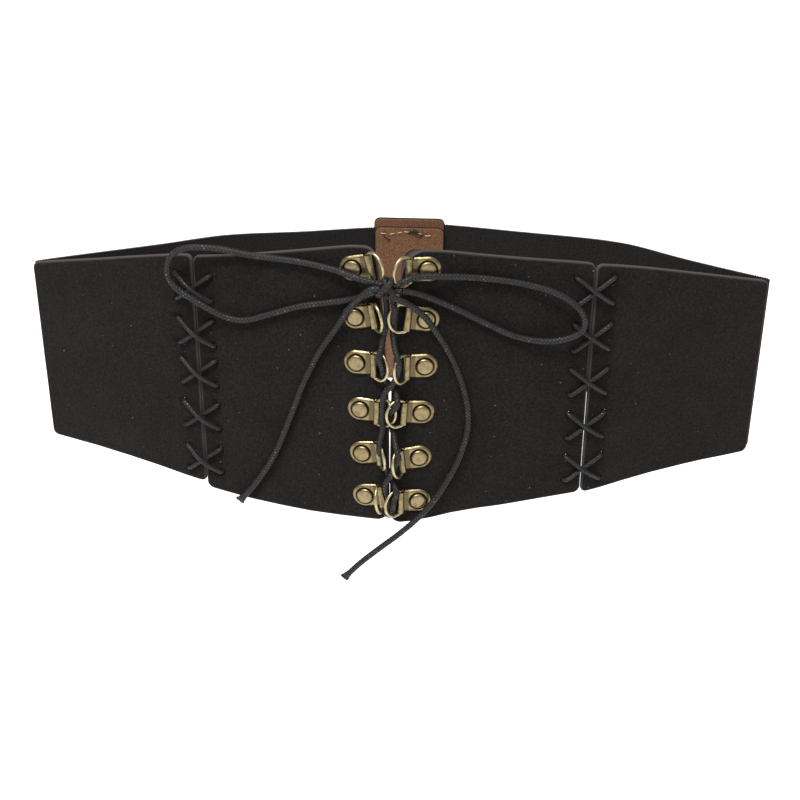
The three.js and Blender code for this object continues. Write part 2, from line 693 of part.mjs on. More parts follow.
const pulled = cordGeometry(centre_lace.map(frontPoint), pulled_cord_radius, cord_sides);
addPiece("centre_lace", pulled, waxed_cord);
for (const [name, places] of Object.entries(bow)) {
  addPiece(name, cordGeometry(places.map(frontPoint), cord_radius, cord_sides), waxed_cord);
}
const knot_ball = new THREE.SphereGeometry(1, 10, 7);
knot_ball.scale(knot.half_width, knot.half_depth, knot.half_height);
const knot_centre = frontPoint(knot);
addPiece("bow_knot", knot_ball.translate(knot_centre.x, knot_centre.y, knot_centre.z), waxed_cord);

export default belt;
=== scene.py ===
# A wide corset-style waist belt: a laced suede front, an elastic back and a leather closing tab.
# Metres. +Z is up and the front faces -Y. A place on the front is written (along, height, out):
# along it from the centre gap, negative to the left, up it, and out from the panels' face.

import math

import bpy
from mathutils import Matrix, Vector, noise
from mathutils.geometry import interpolate_bezier


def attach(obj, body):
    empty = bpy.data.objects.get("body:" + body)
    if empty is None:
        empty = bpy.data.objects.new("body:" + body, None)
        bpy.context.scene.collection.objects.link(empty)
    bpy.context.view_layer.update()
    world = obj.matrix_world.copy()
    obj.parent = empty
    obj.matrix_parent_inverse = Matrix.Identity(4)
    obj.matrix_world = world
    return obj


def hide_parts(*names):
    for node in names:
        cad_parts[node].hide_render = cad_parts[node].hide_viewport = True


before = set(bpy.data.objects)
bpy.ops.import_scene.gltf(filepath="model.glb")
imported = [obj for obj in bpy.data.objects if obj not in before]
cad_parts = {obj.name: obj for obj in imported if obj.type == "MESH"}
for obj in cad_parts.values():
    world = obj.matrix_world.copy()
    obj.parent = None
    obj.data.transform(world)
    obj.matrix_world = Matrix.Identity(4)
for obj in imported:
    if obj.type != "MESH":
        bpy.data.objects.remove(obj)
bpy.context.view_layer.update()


# Camera: it looks down on the laced front by 25 degrees, from a little to the right.
camera_tilt = math.radians(65)
camera_turn = math.radians(3.55)
camera_roll = math.radians(0.31)
bpy.ops.object.camera_add(location=(0.03542, -0.55351, 0.22836))
camera = bpy.context.object
camera_facing = Matrix.Rotation(camera_turn, 4, "Z") @ Matrix.Rotation(camera_tilt, 4, "X")
camera.rotation_euler = (camera_facing @ Matrix.Rotation(camera_roll, 4, "Z")).to_euler()
camera.data.lens = 56.36
camera.data.sensor_width = 36
bpy.context.scene.camera = camera


# The bow: round cotton cord, braided and waxed, tied in front of the top hooks. Its two loops
# and two tails lie loose on the front, over the rivets and the side lacing. The front they lie
# on is a shallow V seen from above: a tight bend at the centre, then a gentle curve to each side.
cord_radius = 0.00135
cord_step = 0.0003
curve_steps = 40
cord_sides = 24
braid_pitch = 0.0017
braid_strands = 4
braid_relief = 0.00026
cut_end_length = 0.005
cut_end_widening = 0.75
cut_end_thinning = 0.45
front_centre_y = -0.056
wing_turn = math.radians(7.5)
centre_bend = 0.005
wing_radius = 0.99

bow_routes = {
    "bow_loop_left": [
        (-0.0050, 0.0519, 0.0062), (-0.0092, 0.0527, 0.0060), (-0.0152, 0.0536, 0.0046),
        (-0.0228, 0.0553, 0.0030), (-0.0383, 0.0573, 0.0019), (-0.0607, 0.0584, 0.0019),
        (-0.0736, 0.0604, 0.0034), (-0.0808, 0.0610, 0.0050), (-0.0873, 0.0605, 0.0060),
        (-0.0933, 0.0580, 0.0064), (-0.0969, 0.0527, 0.0062), (-0.0973, 0.0462, 0.0060),
        (-0.0934, 0.0411, 0.0060), (-0.0868, 0.0370, 0.0056), (-0.0796, 0.0328, 0.0045),
        (-0.0734, 0.0294, 0.0028), (-0.0654, 0.0281, 0.0018), (-0.0552, 0.0314, 0.0018),
        (-0.0391, 0.0372, 0.0018), (-0.0256, 0.0402, 0.0018), (-0.0165, 0.0426, 0.0028),
        (-0.0092, 0.0458, 0.0046), (-0.0049, 0.0483, 0.0060),
    ],
    "bow_loop_right": [
        (0.0046, 0.0523, 0.0064), (0.0080, 0.0539, 0.0060), (0.0128, 0.0544, 0.0048),
        (0.0207, 0.0540, 0.0038), (0.0336, 0.0527, 0.0020), (0.0465, 0.0510, 0.0018),
        (0.0593, 0.0485, 0.0026), (0.0699, 0.0454, 0.0046), (0.0776, 0.0408, 0.0060),
        (0.0822, 0.0353, 0.0064), (0.0831, 0.0301, 0.0062), (0.0804, 0.0261, 0.0056),
        (0.0734, 0.0233, 0.0042), (0.0649, 0.0228, 0.0028), (0.0540, 0.0252, 0.0018),
        (0.0430, 0.0306, 0.0018), (0.0298, 0.0377, 0.0017), (0.0198, 0.0428, 0.0026),
        (0.0115, 0.0468, 0.0046), (0.0049, 0.0489, 0.0062),
    ],
    "bow_tail_left": [
        (-0.0030, 0.0502, 0.0086), (-0.0054, 0.0503, 0.0090), (-0.0082, 0.0486, 0.0088),
        (-0.0116, 0.0451, 0.0076), (-0.0162, 0.0395, 0.0050), (-0.0235, 0.0279, 0.0024),
        (-0.0306, 0.0171, 0.0018), (-0.0378, 0.0025, 0.0018), (-0.0428, -0.0103, 0.0018),
        (-0.0480, -0.0239, 0.0018), (-0.0533, -0.0363, 0.0018), (-0.0601, -0.0481, 0.0018),
        (-0.0674, -0.0582, 0.0018), (-0.0717, -0.0631, 0.0018),
    ],
    "bow_tail_right": [
        (0.0016, 0.0464, 0.0080), (0.0054, 0.0444, 0.0076), (0.0098, 0.0412, 0.0064),
        (0.0146, 0.0363, 0.0049), (0.0200, 0.0282, 0.0034), (0.0260, 0.0174, 0.0018),
        (0.0306, 0.0063, 0.0018), (0.0335, -0.0039, 0.0018), (0.0347, -0.0143, 0.0018),
        (0.0336, -0.0242, 0.0018), (0.0307, -0.0341, 0.0018), (0.0264, -0.0432, 0.0022),
        (0.0206, -0.0524, 0.0034), (0.0139, -0.0610, 0.0036), (0.0048, -0.0700, 0.0034),
        (-0.0039, -0.0787, 0.0028), (-0.0133, -0.0881, 0.0030), (-0.0211, -0.0972, 0.0030),
    ],
}


def front_plan(along):
    """x, y and the turn of the front at a place along it."""
    distance = abs(along)
    bend_radius = centre_bend / wing_turn
    turn = min(distance, centre_bend) / bend_radius
    x = bend_radius * math.sin(turn)
    back = bend_radius * (1 - math.cos(turn))
    if distance > centre_bend:
        turn = wing_turn + (distance - centre_bend) / wing_radius
        x += wing_radius * (math.sin(turn) - math.sin(wing_turn))
        back += wing_radius * (math.cos(wing_turn) - math.cos(turn))
    side = math.copysign(1, along)
    return side * x, front_centre_y + back, side * turn


def front_point(along, height, out):
    x, y, turn = front_plan(along)
    return Vector((x + out * math.sin(turn), y - out * math.cos(turn), height))


def smooth_line(points, step):
    """A smooth line through the points, as places at equal steps of about that length."""
    ends = [2 * points[0] - points[1], *points, 2 * points[-1] - points[-2]]
    dense = []
    for before, here, there, after in zip(ends, ends[1:], ends[2:], ends[3:]):
        reach = (there - here).length / 3
        leave = here + (there - before).normalized() * reach
        arrive = there - (after - here).normalized() * reach
        dense += interpolate_bezier(here, leave, arrive, there, curve_steps)[:-1]
    dense.append(points[-1])
    travelled = [0]
    for here, there in zip(dense, dense[1:]):
        travelled.append(travelled[-1] + (there - here).length)
    count = max(2, round(travelled[-1] / step))
    line = []
    i = 0
    for n in range(count):
        place = travelled[-1] * n / count
        while travelled[i + 1] < place:
            i += 1
        share = (place - travelled[i]) / (travelled[i + 1] - travelled[i])
        line.append(dense[i].lerp(dense[i + 1], share))
    return [*line, dense[-1]]


def front_line(route):
    return smooth_line([front_point(*place) for place in route], cord_step)


def line_length(line):
    return sum((there - here).length for here, there in zip(line, line[1:]))


def show_mesh(name, mesh):
    """Puts a finished mesh in the scene as an object at the origin."""
    piece = bpy.data.objects.new(name, mesh)
    bpy.context.scene.collection.objects.link(piece)
    return piece


def loft_faces(count, sides, closed=False):
    """The faces over count rings of that many corners, capped unless they close on themselves."""
    faces = []
    for i in range(count if closed else count - 1):
        here, there = i * sides, (i + 1) % count * sides
        for k in range(sides):
            after = (k + 1) % sides
            faces.append((here + k, here + after, there + after, there + k))
    if not closed:
        faces.append(tuple(reversed(range(sides))))
        faces.append(tuple(range((count - 1) * sides, count * sides)))
    return faces


def make_tube(name, line, radius, sides, braid=0, closed=False, flare=None):
    """A tube along the line. Its UV map is in metres, along it and round it. braid is how far its
    strands stand proud, and the attribute braid is 1 on top of them. flare(rest) gives how wide
    and how thick it is that far from its end."""
    total = line_length(line)
    points = []
    lumps = []
    aside = None
    travelled = 0
    distances = []
    for i, centre in enumerate(line):
        before = line[i - 1] if closed or i else line[0]
        after = line[(i + 1) % len(line)] if closed or i + 1 < len(line) else line[-1]
        ahead = (after - before).normalized()
        aside = ahead.orthogonal() if aside is None else aside
        aside = (aside - ahead * aside.dot(ahead)).normalized()
        other = ahead.cross(aside)
        travelled += (centre - line[i - 1]).length if i else 0
        distances.append(travelled)
        flat = Vector((0, -1, 0)).cross(ahead).normalized()
        wide, thick = flare(total - travelled) if flare else (1, 1)
        for k in range(sides):
            share = k / sides
            row = travelled / braid_pitch
            lump = math.sin(math.pi * (row + braid_strands * share))
            lump *= math.sin(math.pi * (row - braid_strands * share))
            lumps.append(abs(lump))
            reach = radius + braid * (abs(lump) - 0.5)
            turned = 2 * math.pi * share
            offset = reach * (math.cos(turned) * aside + math.sin(turned) * other)
            across = offset.dot(flat)
            offset = thick * (offset - across * flat) + wide * across * flat
            points.append(centre + offset)
    mesh = bpy.data.meshes.new(name)
    mesh.from_pydata(points, [], loft_faces(len(line), sides, closed))
    proud = mesh.attributes.new("braid", "FLOAT", "POINT")
    proud.data.foreach_set("value", lumps)
    round_it = 2 * math.pi * radius
    layer = mesh.uv_layers.new(name="cord_map")
    for face in mesh.polygons:
        corners = list(face.vertices)
        wraps = len(corners) == 4 and {v % sides for v in corners} == {0, sides - 1}
        for loop, vertex in zip(face.loop_indices, corners):
            i, k = divmod(vertex, sides)
            share = 1 if wraps and k == 0 else k / sides
            layer.data[loop].uv = (distances[i], share * round_it)
    mesh.shade_smooth()
    return show_mesh(name, mesh)


def linear(hex_code):
    """An sRGB hex colour as linear red, green and blue, with alpha 1."""
    channels = [int(hex_code[i:i + 2], 16) / 255 for i in (0, 2, 4)]
    return (*[c / 12.92 if c <= 0.04045 else ((c + 0.055) / 1.055) ** 2.4 for c in channels], 1)


def add_node(material, kind, inputs=(), **settings):
    """Adds a node and returns its outputs. inputs gives sockets a value or another node's output,
    by name or number, or in their order."""
    node = material.node_tree.nodes.new("ShaderNode" + kind)
    for setting, value in settings.items():
        setattr(node, setting, value)
    for socket, value in inputs.items() if isinstance(inputs, dict) else enumerate(inputs):
        if isinstance(value, bpy.types.NodeSocket):
            material.node_tree.links.new(value, node.inputs[socket])
        else:
            node.inputs[socket].default_value = value
    return node.outputs


def new_material(name):
    material = bpy.data.materials.new(name)
    material.use_nodes = True
    material.node_tree.nodes.clear()
    return material


# Waxed cotton cord: rough between the strands and smoother where the wax lies on top of them. Its
# colour is black between the strands as painted shade and lighter on the waxed tops, with pale
# spots there as painted highlights.
def make_waxed_cord(name, dark, light):
    material = new_material(name)
    uv = add_node(material, "TexCoord")["UV"]
    fibres = add_node(material, "Mapping", {"Vector": uv, "Scale": (900, 4200, 1)})["Vector"]
    fibre = add_node(material, "TexNoise", {"Vector": fibres, "Scale": 1, "Detail": 2})["Fac"]
    wax = add_node(material, "Mapping", {"Vector": uv, "Scale": (350, 350, 1)})["Vector"]
    patch = add_node(material, "TexNoise", {"Vector": wax, "Scale": 1, "Detail": 3})["Fac"]
    proud = add_node(material, "Attribute", attribute_name="braid")["Fac"]
    wax_and_painted_light = add_node(material, "Math", (proud, patch), operation="MULTIPLY")["Value"]
    # Black between the strands is painted shade; the waxed tops are lighter.
    tone = add_node(material, "MapRange", (wax_and_painted_light, 0.05, 0.55, 0.0, 1.0))["Result"]
    # Pale spots on the most waxed tops are painted highlights.
    painted_glint = add_node(material, "MapRange", (wax_and_painted_light, 0.48, 0.6, 0.0, 0.6))["Result"]
    colour = linear(dark)
    for share, over in ((tone, light), (painted_glint, "948d8a")):
        mix = {0: share, 6: colour, 7: linear(over)}
        colour = add_node(material, "Mix", mix, data_type="RGBA")[2]
    rough = add_node(material, "MapRange", (wax_and_painted_light, 0.15, 0.5, 0.75, 0.14))["Result"]
    bump = add_node(
        material, "Bump", {"Strength": 0.2, "Distance": 0.0001, "Height": fibre})["Normal"]
    shader = add_node(material, "BsdfPrincipled", {
        "Base Color": colour, "Roughness": rough, "Specular IOR Level": 0.4, "Normal": bump,
    })["BSDF"]
    add_node(material, "OutputMaterial", {"Surface": shader})
    return material


waxed_cord = make_waxed_cord("waxed_cotton_cord", "060505", "1c1817")


def dress(piece, material, slot, *nodes):
    """Gives a finished piece its material and hides the CAD nodes that it stands for. slot is not
    used.
    """
    piece.data.materials.clear()
    piece.data.materials.append(material)
    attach(piece, "root")
    if nodes:
        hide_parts(*nodes)
    return piece


def cut_end(rest):
    """The end of a tail was squeezed flat and cut, so its last stretch widens like a fan."""
    share = max(0, 1 - rest / cut_end_length) ** 1.5
    return 1 + cut_end_widening * share, 1 - cut_end_thinning * share


for name, route in bow_routes.items():
    line = front_line(route)
    is_tail = "tail" in name
    flare = cut_end if is_tail else None
    cord = make_tube(name + "_cord", line, cord_radius, cord_sides, braid_relief, flare=flare)
    dress(cord, waxed_cord, "waxed_cord", name)


# The knot of the bow: the same cord, pulled tight. Two strands run through it from loop to loop.
# The left tail's end comes up over them and round behind, the right tail's goes up beneath that
# one, and the centre lace comes in from below.
knot_turns = {
    "upper": [
        (-0.0050, 0.0519, 0.0062), (-0.0025, 0.0513, 0.0060), (0.0, 0.0512, 0.0058),
        (0.0023, 0.0517, 0.0061), (0.0046, 0.0523, 0.0064),
    ],
    "lower": [
        (-0.0049, 0.0483, 0.0060), (-0.0024, 0.0489, 0.0057), (0.0, 0.0490, 0.0055),
        (0.0025, 0.0488, 0.0058), (0.0049, 0.0489, 0.0062),
    ],
    "over": [
        (-0.0026, 0.0470, 0.0052), (-0.0036, 0.0472, 0.0070), (-0.0032, 0.0482, 0.0087),
        (-0.0018, 0.0502, 0.0096), (-0.0002, 0.0520, 0.0094), (0.0008, 0.0533, 0.0082),
        (0.0010, 0.0537, 0.0064), (0.0006, 0.0532, 0.0048),
    ],
    "beneath": [
        (0.0016, 0.0464, 0.0080), (0.0014, 0.0482, 0.0079), (0.0004, 0.0502, 0.0076),
        (-0.0010, 0.0522, 0.0074), (-0.0015, 0.0533, 0.0062), (-0.0012, 0.0534, 0.0046),
    ],
    "down_left": [
        (-0.0010, 0.0468, 0.0044), (-0.0009, 0.0482, 0.0044), (-0.0006, 0.0500, 0.0044),
    ],
    "down_right": [
        (0.0010, 0.0468, 0.0050), (0.0009, 0.0482, 0.0048), (0.0008, 0.0500, 0.0046),
    ],
}
turns = []
for turn, route in knot_turns.items():
    line = front_line(route)
    turns.append(make_tube("knot_" + turn, line, cord_radius, cord_sides, braid_relief))


def only(*chosen):
    """Selects these objects and nothing else, and makes the first one active."""
    bpy.ops.object.select_all(action="DESELECT")
    for piece in chosen:
        piece.select_set(True)
    bpy.context.view_layer.objects.active = chosen[0]


def join(pieces, name):
    """Joins pieces into the first of them, and names it."""
    only(*pieces)
    bpy.ops.object.join()
    pieces[0].name = name
    return pieces[0]


dress(join(turns, "bow_knot_tied"), waxed_cord, "waxed_cord", "bow_knot")


# The front: four panels of black suede, 2.6 mm thick, with cut edges that show as a lighter line
# along the top, and punched for the lacing beside both side seams. Rows give (distance from the
# centre gap, height). The gap opens ever faster to the top, and the right one's corner slants.
panel_thickness = 0.0026
edge_round = 0.0009
edge_rows = [0, 0.00015, 0.00035, 0.0006, 0.0010, 0.0016, 0.0024, 0.0034, 0.0046]
grid_size = 0.0024
grid_height = 0.11
wave_depth = 0.00018
wave_scale = 40
side_sign = {"left": -1, "right": 1}
seam_along = 0.0887
gap_bow = 3
lacing_width = 0.0085
lacing_height = 0.006
hole_radius = 0.00125
hole_sides = 20
dent_depth = 0.0005
dent_reach = 0.0028
slant = {"inset": 0.0024, "from_height": 0.0545, "corner": 0.0085, "fade": 4}
cross_heights = {
    "left": [0.0407, 0.0196, 0.0003, -0.0214, -0.0440],
    "right": [0.0437, 0.0223, 0.0011, -0.0205, -0.0420],
}
outer_edges = {
    "near_top": 0.0889, "near_bottom": 0.0889,
    "near_corner_top": 0.0030, "near_corner_bottom": 0.0030, "far_corner": 0.0028, "back_rim": 0.6,
}
panels = {
    "panel_front_left": {
        "side": "left", "near_top": 0.0058, "near_bottom": 0.0001, "far": 0.0885,
        "near_corner_top": 0.0065, "near_corner_bottom": 0.0060, "far_corner": 0.0030,
        "back_rim": 0.6,
        "top": [(0.003, 0.0662), (0.012, 0.0656), (0.018, 0.0653), (0.026, 0.0640),
                (0.039, 0.0619), (0.052, 0.0598), (0.062, 0.0582), (0.071, 0.0568),
                (0.080, 0.0558), (0.0885, 0.0549)],
        "bottom": [(0.003, -0.0656), (0.012, -0.0655), (0.024, -0.0654), (0.038, -0.0650),
                   (0.053, -0.0638), (0.067, -0.0625), (0.080, -0.0606), (0.0885, -0.0592)],
    },
    "panel_front_right": {
        "side": "right", "near_top": 0.0054, "near_bottom": 0.0001, "far": 0.0885,
        "near_corner_top": 0.0060, "near_corner_bottom": 0.0055, "far_corner": 0.0030,
        "slant": slant, "back_rim": 0,
        "top": [(0.003, 0.0647), (0.012, 0.0644), (0.021, 0.0640), (0.029, 0.0632),
                (0.038, 0.0620), (0.047, 0.0609), (0.059, 0.0595), (0.072, 0.0581),
                (0.081, 0.0571), (0.0885, 0.0560)],
        "bottom": [(0.003, -0.0668), (0.010, -0.0662), (0.019, -0.0647), (0.028, -0.0626),
                   (0.040, -0.0607), (0.051, -0.0596), (0.070, -0.0572), (0.080, -0.0560),
                   (0.0885, -0.0550)],
    },
    "panel_outer_left": {
        **outer_edges, "side": "left", "far": 0.1703,
        "top": [(0.0889, 0.0554), (0.097, 0.0548), (0.109, 0.0530), (0.122, 0.0510),
                (0.134, 0.0489), (0.145, 0.0472), (0.156, 0.0454), (0.1695, 0.0430)],
        "bottom": [(0.0889, -0.0568), (0.098, -0.0552), (0.113, -0.0520), (0.129, -0.0492),
                   (0.145, -0.0469), (0.162, -0.0453), (0.1695, -0.0446)],
    },
    "panel_outer_right": {
        **outer_edges, "side": "right", "far": 0.1695,
        "top": [(0.0889, 0.0556), (0.099, 0.0547), (0.113, 0.0528), (0.127, 0.0505),
                (0.136, 0.0490), (0.150, 0.0465), (0.160, 0.0448), (0.1695, 0.0431)],
        "bottom": [(0.0889, -0.0556), (0.098, -0.0537), (0.108, -0.0511), (0.122, -0.0479),
                   (0.137, -0.0452), (0.147, -0.0438), (0.157, -0.0428), (0.1695, -0.0413)],
    },
}


def read_rows(rows, place):
    """The height that the rows give at a place between them."""
    i = 0
    while i < len(rows) - 2 and place > rows[i + 1][0]:
        i += 1
    (start, low), (end, high) = rows[i], rows[i + 1]
    return low + (high - low) * (place - start) / (end - start)


def edge_steps(length):
    """Places from 0 to length: close together at both ends, and a grid cell apart between."""
    inner = length - 2 * edge_rows[-1]
    cells = round(inner / grid_size)
    middle = [edge_rows[-1] + inner * n / cells for n in range(1, cells)]
    return [*edge_rows, *middle, *[length - row for row in reversed(edge_rows)]]


def punched_places(panel):
    sign = side_sign[panel["side"]]
    way = 1 if panel["far"] > seam_along else -1
    along = sign * (seam_along + way * lacing_width)
    places = []
    for middle in cross_heights[panel["side"]]:
        places += [(along, middle + lacing_height), (along, middle - lacing_height)]
    return places


def corner_drop(from_side, radius):
    """How far a round corner pulls the edge in at a distance from the side."""
    inset = max(0, radius - from_side)
    return radius - math.sqrt(max(0, radius ** 2 - inset ** 2))


def edge_distance(from_side, from_end, radius):
    """How far inside a round corner's outline a place is."""
    if from_side < radius and from_end < radius:
        return max(0, radius - math.hypot(radius - from_side, radius - from_end))
    return max(0, min(from_side, from_end))


def add_primitive(kind, **settings):
    """Adds a primitive with nothing else selected."""
    bpy.ops.object.select_all(action="DESELECT")
    getattr(bpy.ops.mesh, f"primitive_{kind}_add")(**settings)
    return bpy.context.object


def start_edit(piece, parts="VERT", action="SELECT"):
    """Goes into edit mode on a piece, with all of its parts selected, or none."""
    only(piece)
    bpy.ops.object.mode_set(mode="EDIT")
    bpy.ops.mesh.select_mode(type=parts)
    bpy.ops.mesh.select_all(action=action)


def panel_sheet(panel, front):
    """One face of a panel: a grid fitted to its outline, rounded at the edge and dented a little
    where the lacing pulls. Its attribute rim is 1 along the cut edge in front."""
    sign = side_sign[panel["side"]]
    slanted = panel.get("slant") if front else None
    rim_share = 1 if front else panel["back_rim"]
    columns = edge_steps(panel["far"] - panel["near_top"])
    rows = edge_steps(grid_height)
    sheet = add_primitive(
        "grid", x_subdivisions=len(columns) - 1, y_subdivisions=len(rows) - 1, size=2)
    rim = sheet.data.attributes.new("rim", "FLOAT", "POINT")
    holes = punched_places(panel)
    for vertex in sheet.data.vertices:
        column = columns[round((vertex.co.x + 1) / 2 * (len(columns) - 1))]
        row = rows[round((vertex.co.y + 1) / 2 * (len(rows) - 1))]
        share = column / columns[-1]
        upper = panel["near_top"] + column
        lower = panel["near_bottom"] + share * (panel["far"] - panel["near_bottom"])
        place = row / rows[-1]
        is_low = place < 0.5
        corner = panel["near_corner_bottom"] if is_low else panel["near_corner_top"]
        if share > 0.5:
            corner = panel["far_corner"]
        elif slanted and not is_low:
            corner = slanted["corner"]
        from_side = min(column, columns[-1] - column)
        top = read_rows(panel["top"], upper)
        bottom = read_rows(panel["bottom"], lower)
        drop = corner_drop(from_side, corner)
        height = bottom + place * (top - bottom) + (drop if is_low else -drop)
        from_end = height - bottom if is_low else top - height
        from_edge = edge_distance(from_side, from_end, corner)
        along = sign * (lower + (upper - lower) * place ** gap_bow)
        if slanted:
            raised = (height - slanted["from_height"]) / (top - slanted["from_height"])
            along += sign * slanted["inset"] * max(0, raised) * (1 - share) ** slanted["fade"]
        sunk = edge_round - min(from_edge, edge_round)
        back = edge_round - math.sqrt(max(0, edge_round ** 2 - sunk ** 2))
        for hole_along, hole_height in holes:
            away = math.hypot(along - hole_along, height - hole_height)
            back += dent_depth * math.exp(-(away / dent_reach) ** 2) if front else 0
        wave = wave_depth * noise.noise(Vector((along * wave_scale, height * wave_scale, 3)))
        out = -back + wave if front else -panel_thickness + back + wave
        vertex.co = front_point(along, height, out)
        rim.data[vertex.index].value = max(0, 1 - from_edge / edge_round) * rim_share
    if (sign > 0) != front:
        start_edit(sheet)
        bpy.ops.mesh.flip_normals()
        bpy.ops.object.mode_set(mode="OBJECT")
    return sheet


def face_outwards(piece):
    start_edit(piece)
    bpy.ops.mesh.normals_make_consistent(inside=False)
    bpy.ops.object.mode_set(mode="OBJECT")


def make_wall(front, back, name):
    """Joins two faces with the same grid into one closed wall."""
    wall = join([front, back], name)
    start_edit(wall, "EDGE", "DESELECT")
    bpy.ops.mesh.select_non_manifold()
    bpy.ops.mesh.bridge_edge_loops()
    bpy.ops.mesh.select_mode(type="VERT")
    bpy.ops.object.mode_set(mode="OBJECT")
    face_outwards(wall)
    return wall


def smooth_by_angle(piece, degrees):
    only(piece)
    bpy.ops.object.shade_smooth_by_angle(angle=math.radians(degrees))


def apply_modifier(piece, kind, **settings):
    """Adds a modifier to a piece with its settings and applies it."""
    only(piece)
    modifier = piece.modifiers.new(kind.lower(), kind)
    for setting, value in settings.items():
        setattr(modifier, setting, value)
    bpy.ops.object.modifier_apply(modifier=modifier.name)


def combine(piece, other, operation):
    apply_modifier(piece, "BOOLEAN", object=other, operation=operation, solver="EXACT")
    bpy.data.objects.remove(other)


def punch_panel(piece, panel):
    pins = []
    for along, height in punched_places(panel):
        turn = front_plan(along)[2]
        pins.append(add_primitive(
            "cylinder", vertices=hole_sides, radius=hole_radius, depth=4 * panel_thickness,
            location=front_point(along, height, -panel_thickness / 2),
            rotation=(math.pi / 2, 0, turn)))
    combine(piece, join(pins, "punches"), "DIFFERENCE")


# Suede: a split leather buffed to a short nap. Near-black and dull, a little lighter where the
# nap is brushed up, with stray pale fibres, and greyer on the cut edge.
suede = new_material("buffed_suede")
place = add_node(suede, "TexCoord")["Object"]
nap = add_node(suede, "TexNoise", {"Vector": place, "Scale": 1000, "Detail": 4})["Fac"]
brushed = add_node(suede, "TexNoise", {"Vector": place, "Scale": 60, "Detail": 4})["Fac"]
lint = add_node(suede, "TexNoise", {"Vector": place, "Scale": 900, "Detail": 0})["Fac"]
tone = add_node(suede, "Mix", {0: 0.2, 2: nap, 3: brushed})[0]
tone = add_node(suede, "MapRange", (tone, 0.35, 0.65, 0.0, 1.0))["Result"]
speck = add_node(suede, "MapRange", (lint, 0.86, 0.90, 0.0, 0.6))["Result"]
on_rim = add_node(suede, "Attribute", attribute_name="rim")["Fac"]
colour = linear("060504")
for share, over in ((tone, "1b1715"), (speck, "7c7675"), (on_rim, "484340")):
    mix = {0: share, 6: colour, 7: linear(over)}
    colour = add_node(suede, "Mix", mix, data_type="RGBA")[2]
bump = add_node(suede, "Bump", {"Strength": 0.6, "Distance": 0.0003, "Height": nap})["Normal"]
shader = add_node(suede, "BsdfPrincipled", {
    "Base Color": colour, "Roughness": 0.95, "Specular IOR Level": 0.1, "Sheen Weight": 0.04,
    "Sheen Roughness": 0.6, "Normal": bump,
})["BSDF"]
add_node(suede, "OutputMaterial", {"Surface": shader})

for name, panel in panels.items():
    piece = make_wall(panel_sheet(panel, True), panel_sheet(panel, False), name + "_suede")
    punch_panel(piece, panel)
    piece.data.shade_smooth()
    dress(piece, suede, "suede", name)


# Side lacing: two waxed laces down each seam, threaded in turns through the punched holes, a
# diagonal in front and a short run behind. A diagonal that falls to the right lies on top.
lace_radius = 0.001
lace_sides = 12
lace_relief = 0.00015
lace_gap = 0.0003
lace_mouth = 0.00025
lace_bend = 0.0017
lace_tie_off = 0.004
flat_lace = make_waxed_cord("waxed_lace", "070606", "1b1716")


def cross_lace_route(side, falls_right):
    seam = side_sign[side] * seam_along
    front = lace_radius + lace_gap
    over = front + 2 * lace_radius + lace_gap
    behind = -panel_thickness - lace_radius - lace_gap
    route = []
    for middle in cross_heights[side]:
        way = 1 if falls_right else -1
        start, end = seam - way * lacing_width, seam + way * lacing_width
        top, bottom = middle + lacing_height, middle - lacing_height
        if not route:
            route.append((start, top + lace_tie_off, behind))
        route += [
            (start, top, behind),
            (start + way * lace_bend / 8, top, lace_mouth),
            (start + way * lace_bend, top - lace_bend / 2, front),
            (seam, middle, over if falls_right else front),
            (end - way * lace_bend, bottom + lace_bend / 2, front),
            (end - way * lace_bend / 8, bottom, lace_mouth),
            (end, bottom, behind),
        ]
        falls_right = not falls_right
    along, height, out = route[-1]
    return [*route, (along, height - lace_tie_off, out)]


for side in ("left", "right"):
    for first in ("falls_right", "falls_left"):
        line = front_line(cross_lace_route(side, first == "falls_right"))
        lace = make_tube(f"side_lace_{side}_{first}", line, lace_radius, lace_sides, lace_relief)
        dress(lace, flat_lace, "flat_lace", f"cross_lace_{side}_{first}")


# The hooks: brass plates stamped from sheet, with one end rolled round the bar of a wire ring,
# each held to its panel by a rivet. (side, row, along, height, tilt, swing): tilt raises the
# ring end of the plate, and swing is how far the ring stands out from the panel, in degrees.
# rim_steps are how far each step of its rounded rim goes in and up.
plate_radius = 0.0057
plate_corner = 0.985 * plate_radius
plate_neck = 0.0053
plate_thickness = 0.0009
plate_reach = 0.008
plate_lift = 0.0003
plate_hole = 0.0016
plate_softened = 0.00028
recess_radius = 0.0042
recess_depth = 0.00035
barrel_radius = 0.0016
barrel_bore = 0.0011
barrel_half = 0.0053
cap_lift = 0.0003
turned_sides = 48
rim_steps = [(0.00005, 0.00005), (0.00055, 0.0005), (0.0003, 0.00012), (0.0003, 0.00005)]
notch_place = 0.0061
notch_radius = 0.0004
cutter_length = 0.01
hooks = [
    ("left", 1, 0.0159, 0.0557, 12, 36),
    ("left", 2, 0.0149, 0.0341, 10, 50),
    ("left", 3, 0.0146, 0.0129, 0, 30),
    ("left", 4, 0.0131, -0.0094, -2, 0),
    ("left", 5, 0.0124, -0.0311, 8, 60),
    ("left", 6, 0.0112, -0.0528, 8, 95),
    ("right", 1, 0.0159, 0.0561, 0, 36),
    ("right", 2, 0.0155, 0.0338, 6, 6),
    ("right", 3, 0.0152, 0.0121, 0, 46),
    ("right", 4, 0.0141, -0.0102, 3, 20),
    ("right", 5, 0.0132, -0.0324, -7, 58),
    ("right", 6, 0.0129, -0.0546, 0, 30),
]


